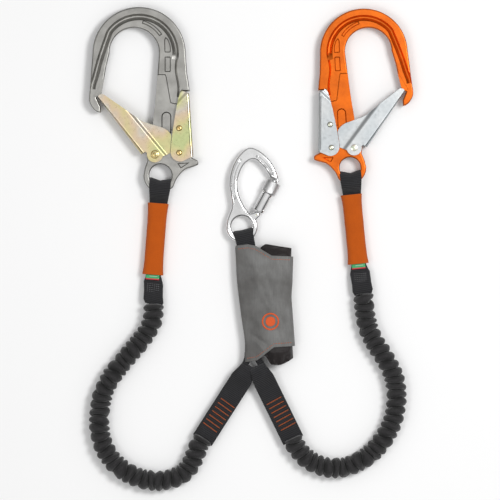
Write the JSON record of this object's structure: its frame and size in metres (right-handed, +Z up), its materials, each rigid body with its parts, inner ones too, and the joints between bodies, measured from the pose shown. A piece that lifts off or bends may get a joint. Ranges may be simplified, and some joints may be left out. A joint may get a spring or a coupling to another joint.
{
  "type": "shock absorbing lanyard",
  "caption": "Twin-leg elastic fall-arrest lanyard: pouch-covered energy absorber, captive-eye carabiner, two large scaffold hooks.",
  "frame": {"origin": "middle of the absorber's flat underside, on the floor that the lanyard lies on", "axes": "+Z up from the floor, +Y along the absorber towards the hooks, +X towards the right-hand hook"},
  "size_m": [0.4311, 0.6436, 0.0392],
  "materials": {
    "grey_alloy": "bead-blasted forged alloy, polished on the high edges",
    "orange_alloy": "orange anodised forged alloy, satin",
    "yellow_zinc": "yellow passivated zinc plate, faintly iridescent",
    "silver_zinc": "bright zinc plate, satin",
    "polished_alloy": "tumble-polished alloy",
    "rivet_steel": "plated rivet steel",
    "spring_steel": "drawn spring wire",
    "black_webbing": "woven polyester webbing with cross ribs",
    "elastic_sheath": "ruched tubular webbing over an elastic core",
    "orange_foam": "fine-napped foam sleeve",
    "green_label": "woven label",
    "grey_fabric": "coated plain-weave nylon",
    "dark_fabric": "soft gathered nylon",
    "tear_webbing": "folded tear webbing",
    "orange_print": "flat print"
  },
  "bodies": {
    "absorber": {"absorber_cover": "grey_fabric", "inner_pouch": "dark_fabric", "tear_webbing_pack": "tear_webbing", "badge": "orange_print", "carabiner_loop": "black_webbing", "leg_ring": "black_webbing", "left_leg_strap": "black_webbing", "left_elastic_leg": "elastic_sheath", "left_end_tab": "black_webbing", "left_inspection_label": "green_label", "left_grip_sleeve": "orange_foam", "left_eye_loop": "black_webbing", "right_leg_strap": "black_webbing", "right_elastic_leg": "elastic_sheath", "right_end_tab": "black_webbing", "right_inspection_label": "green_label", "right_grip_sleeve": "orange_foam", "right_eye_loop": "black_webbing"},
    "left_hook": {"left_hook_body": "grey_alloy", "left_gate_rivet": "rivet_steel", "left_gate_spring": "spring_steel", "left_lever_rivet": "rivet_steel", "left_lever_spring": "spring_steel"},
    "left_gate": {"left_gate": "yellow_zinc"},
    "left_lever": {"left_lock_lever": "yellow_zinc", "left_lever_stop_pin": "rivet_steel"},
    "right_hook": {"right_hook_body": "orange_alloy", "right_gate_rivet": "rivet_steel", "right_gate_spring": "spring_steel", "right_lever_rivet": "rivet_steel", "right_lever_spring": "spring_steel"},
    "right_gate": {"right_gate": "silver_zinc"},
    "right_lever": {"right_lock_lever": "silver_zinc", "right_lever_stop_pin": "rivet_steel"},
    "carabiner": {"carabiner_body": "polished_alloy", "carabiner_gate_pin": "rivet_steel"},
    "carabiner_gate": {"carabiner_gate": "polished_alloy", "carabiner_gate_plunger": "spring_steel", "carabiner_gate_spring": "spring_steel"},
    "carabiner_sleeve": {"carabiner_sleeve_barrel": "polished_alloy", "carabiner_lock_collar": "polished_alloy", "carabiner_sleeve_spring": "spring_steel"}
  },
  "joints": [
    {"name": "left_hook_swing", "type": "hinge", "parent": "absorber", "child": "left_hook", "pos_m": [-0.139, 0.15034, 0.013], "axis": [1, 0, 0], "range_deg": [-80, 80], "deforming": ["left_eye_loop"]},
    {"name": "right_hook_swing", "type": "hinge", "parent": "absorber", "child": "right_hook", "pos_m": [0.11409, 0.16148, 0.013], "axis": [0.9984, 0.0558, 0], "range_deg": [-80, 80], "deforming": ["right_eye_loop"]},
    {"name": "carabiner_swing", "type": "hinge", "parent": "absorber", "child": "carabiner", "pos_m": [-0.0307, 0.0836, 0.011], "axis": [1, 0, 0], "range_deg": [-70, 75], "deforming": ["carabiner_loop"]},
    {"name": "left_gate_open", "type": "hinge", "parent": "left_hook", "child": "left_gate", "pos_m": [-0.1462, 0.19706, 0.013], "axis": [0, 0, -1], "range_deg": [0, 36], "stiffness_Nm_per_rad": 0.12, "springref_deg": -28.65, "deforming": ["left_gate_spring"]},
    {"name": "right_gate_open", "type": "hinge", "parent": "right_hook", "child": "right_gate", "pos_m": [0.1184, 0.20574, 0.013], "axis": [0, 0, 1], "range_deg": [0, 36], "stiffness_Nm_per_rad": 0.12, "springref_deg": -28.65, "deforming": ["right_gate_spring"]},
    {"name": "left_lever_squeeze", "type": "hinge", "parent": "left_hook", "child": "left_lever", "pos_m": [-0.11412, 0.23181, 0.013], "axis": [0, 0, 1], "range_deg": [0, 8], "stiffness_Nm_per_rad": 0.3, "springref_deg": -17.19, "deforming": ["left_lever_spring"]},
    {"name": "right_lever_squeeze", "type": "hinge", "parent": "right_hook", "child": "right_lever", "pos_m": [0.08645, 0.23669, 0.013], "axis": [0, 0, -1], "range_deg": [0, 8], "stiffness_Nm_per_rad": 0.3, "springref_deg": -17.19, "deforming": ["right_lever_spring"]},
    {"name": "carabiner_gate_open", "type": "hinge", "parent": "carabiner", "child": "carabiner_gate", "pos_m": [-0.0113, 0.1167, 0.011], "axis": [0, 0, 1], "range_deg": [0, 25], "stiffness_Nm_per_rad": 0.05, "springref_deg": -22.92, "deforming": ["carabiner_gate_spring"]},
    {"name": "carabiner_sleeve_twist", "type": "hinge", "parent": "carabiner_gate", "child": "carabiner_sleeve", "pos_m": [-0.0113, 0.1167, 0.011], "axis": [0.4679, 0.8838, 0], "range_deg": [0, 90], "stiffness_Nm_per_rad": 0.01, "springref_deg": -28.65, "deforming": ["carabiner_sleeve_spring"]}
  ]
}
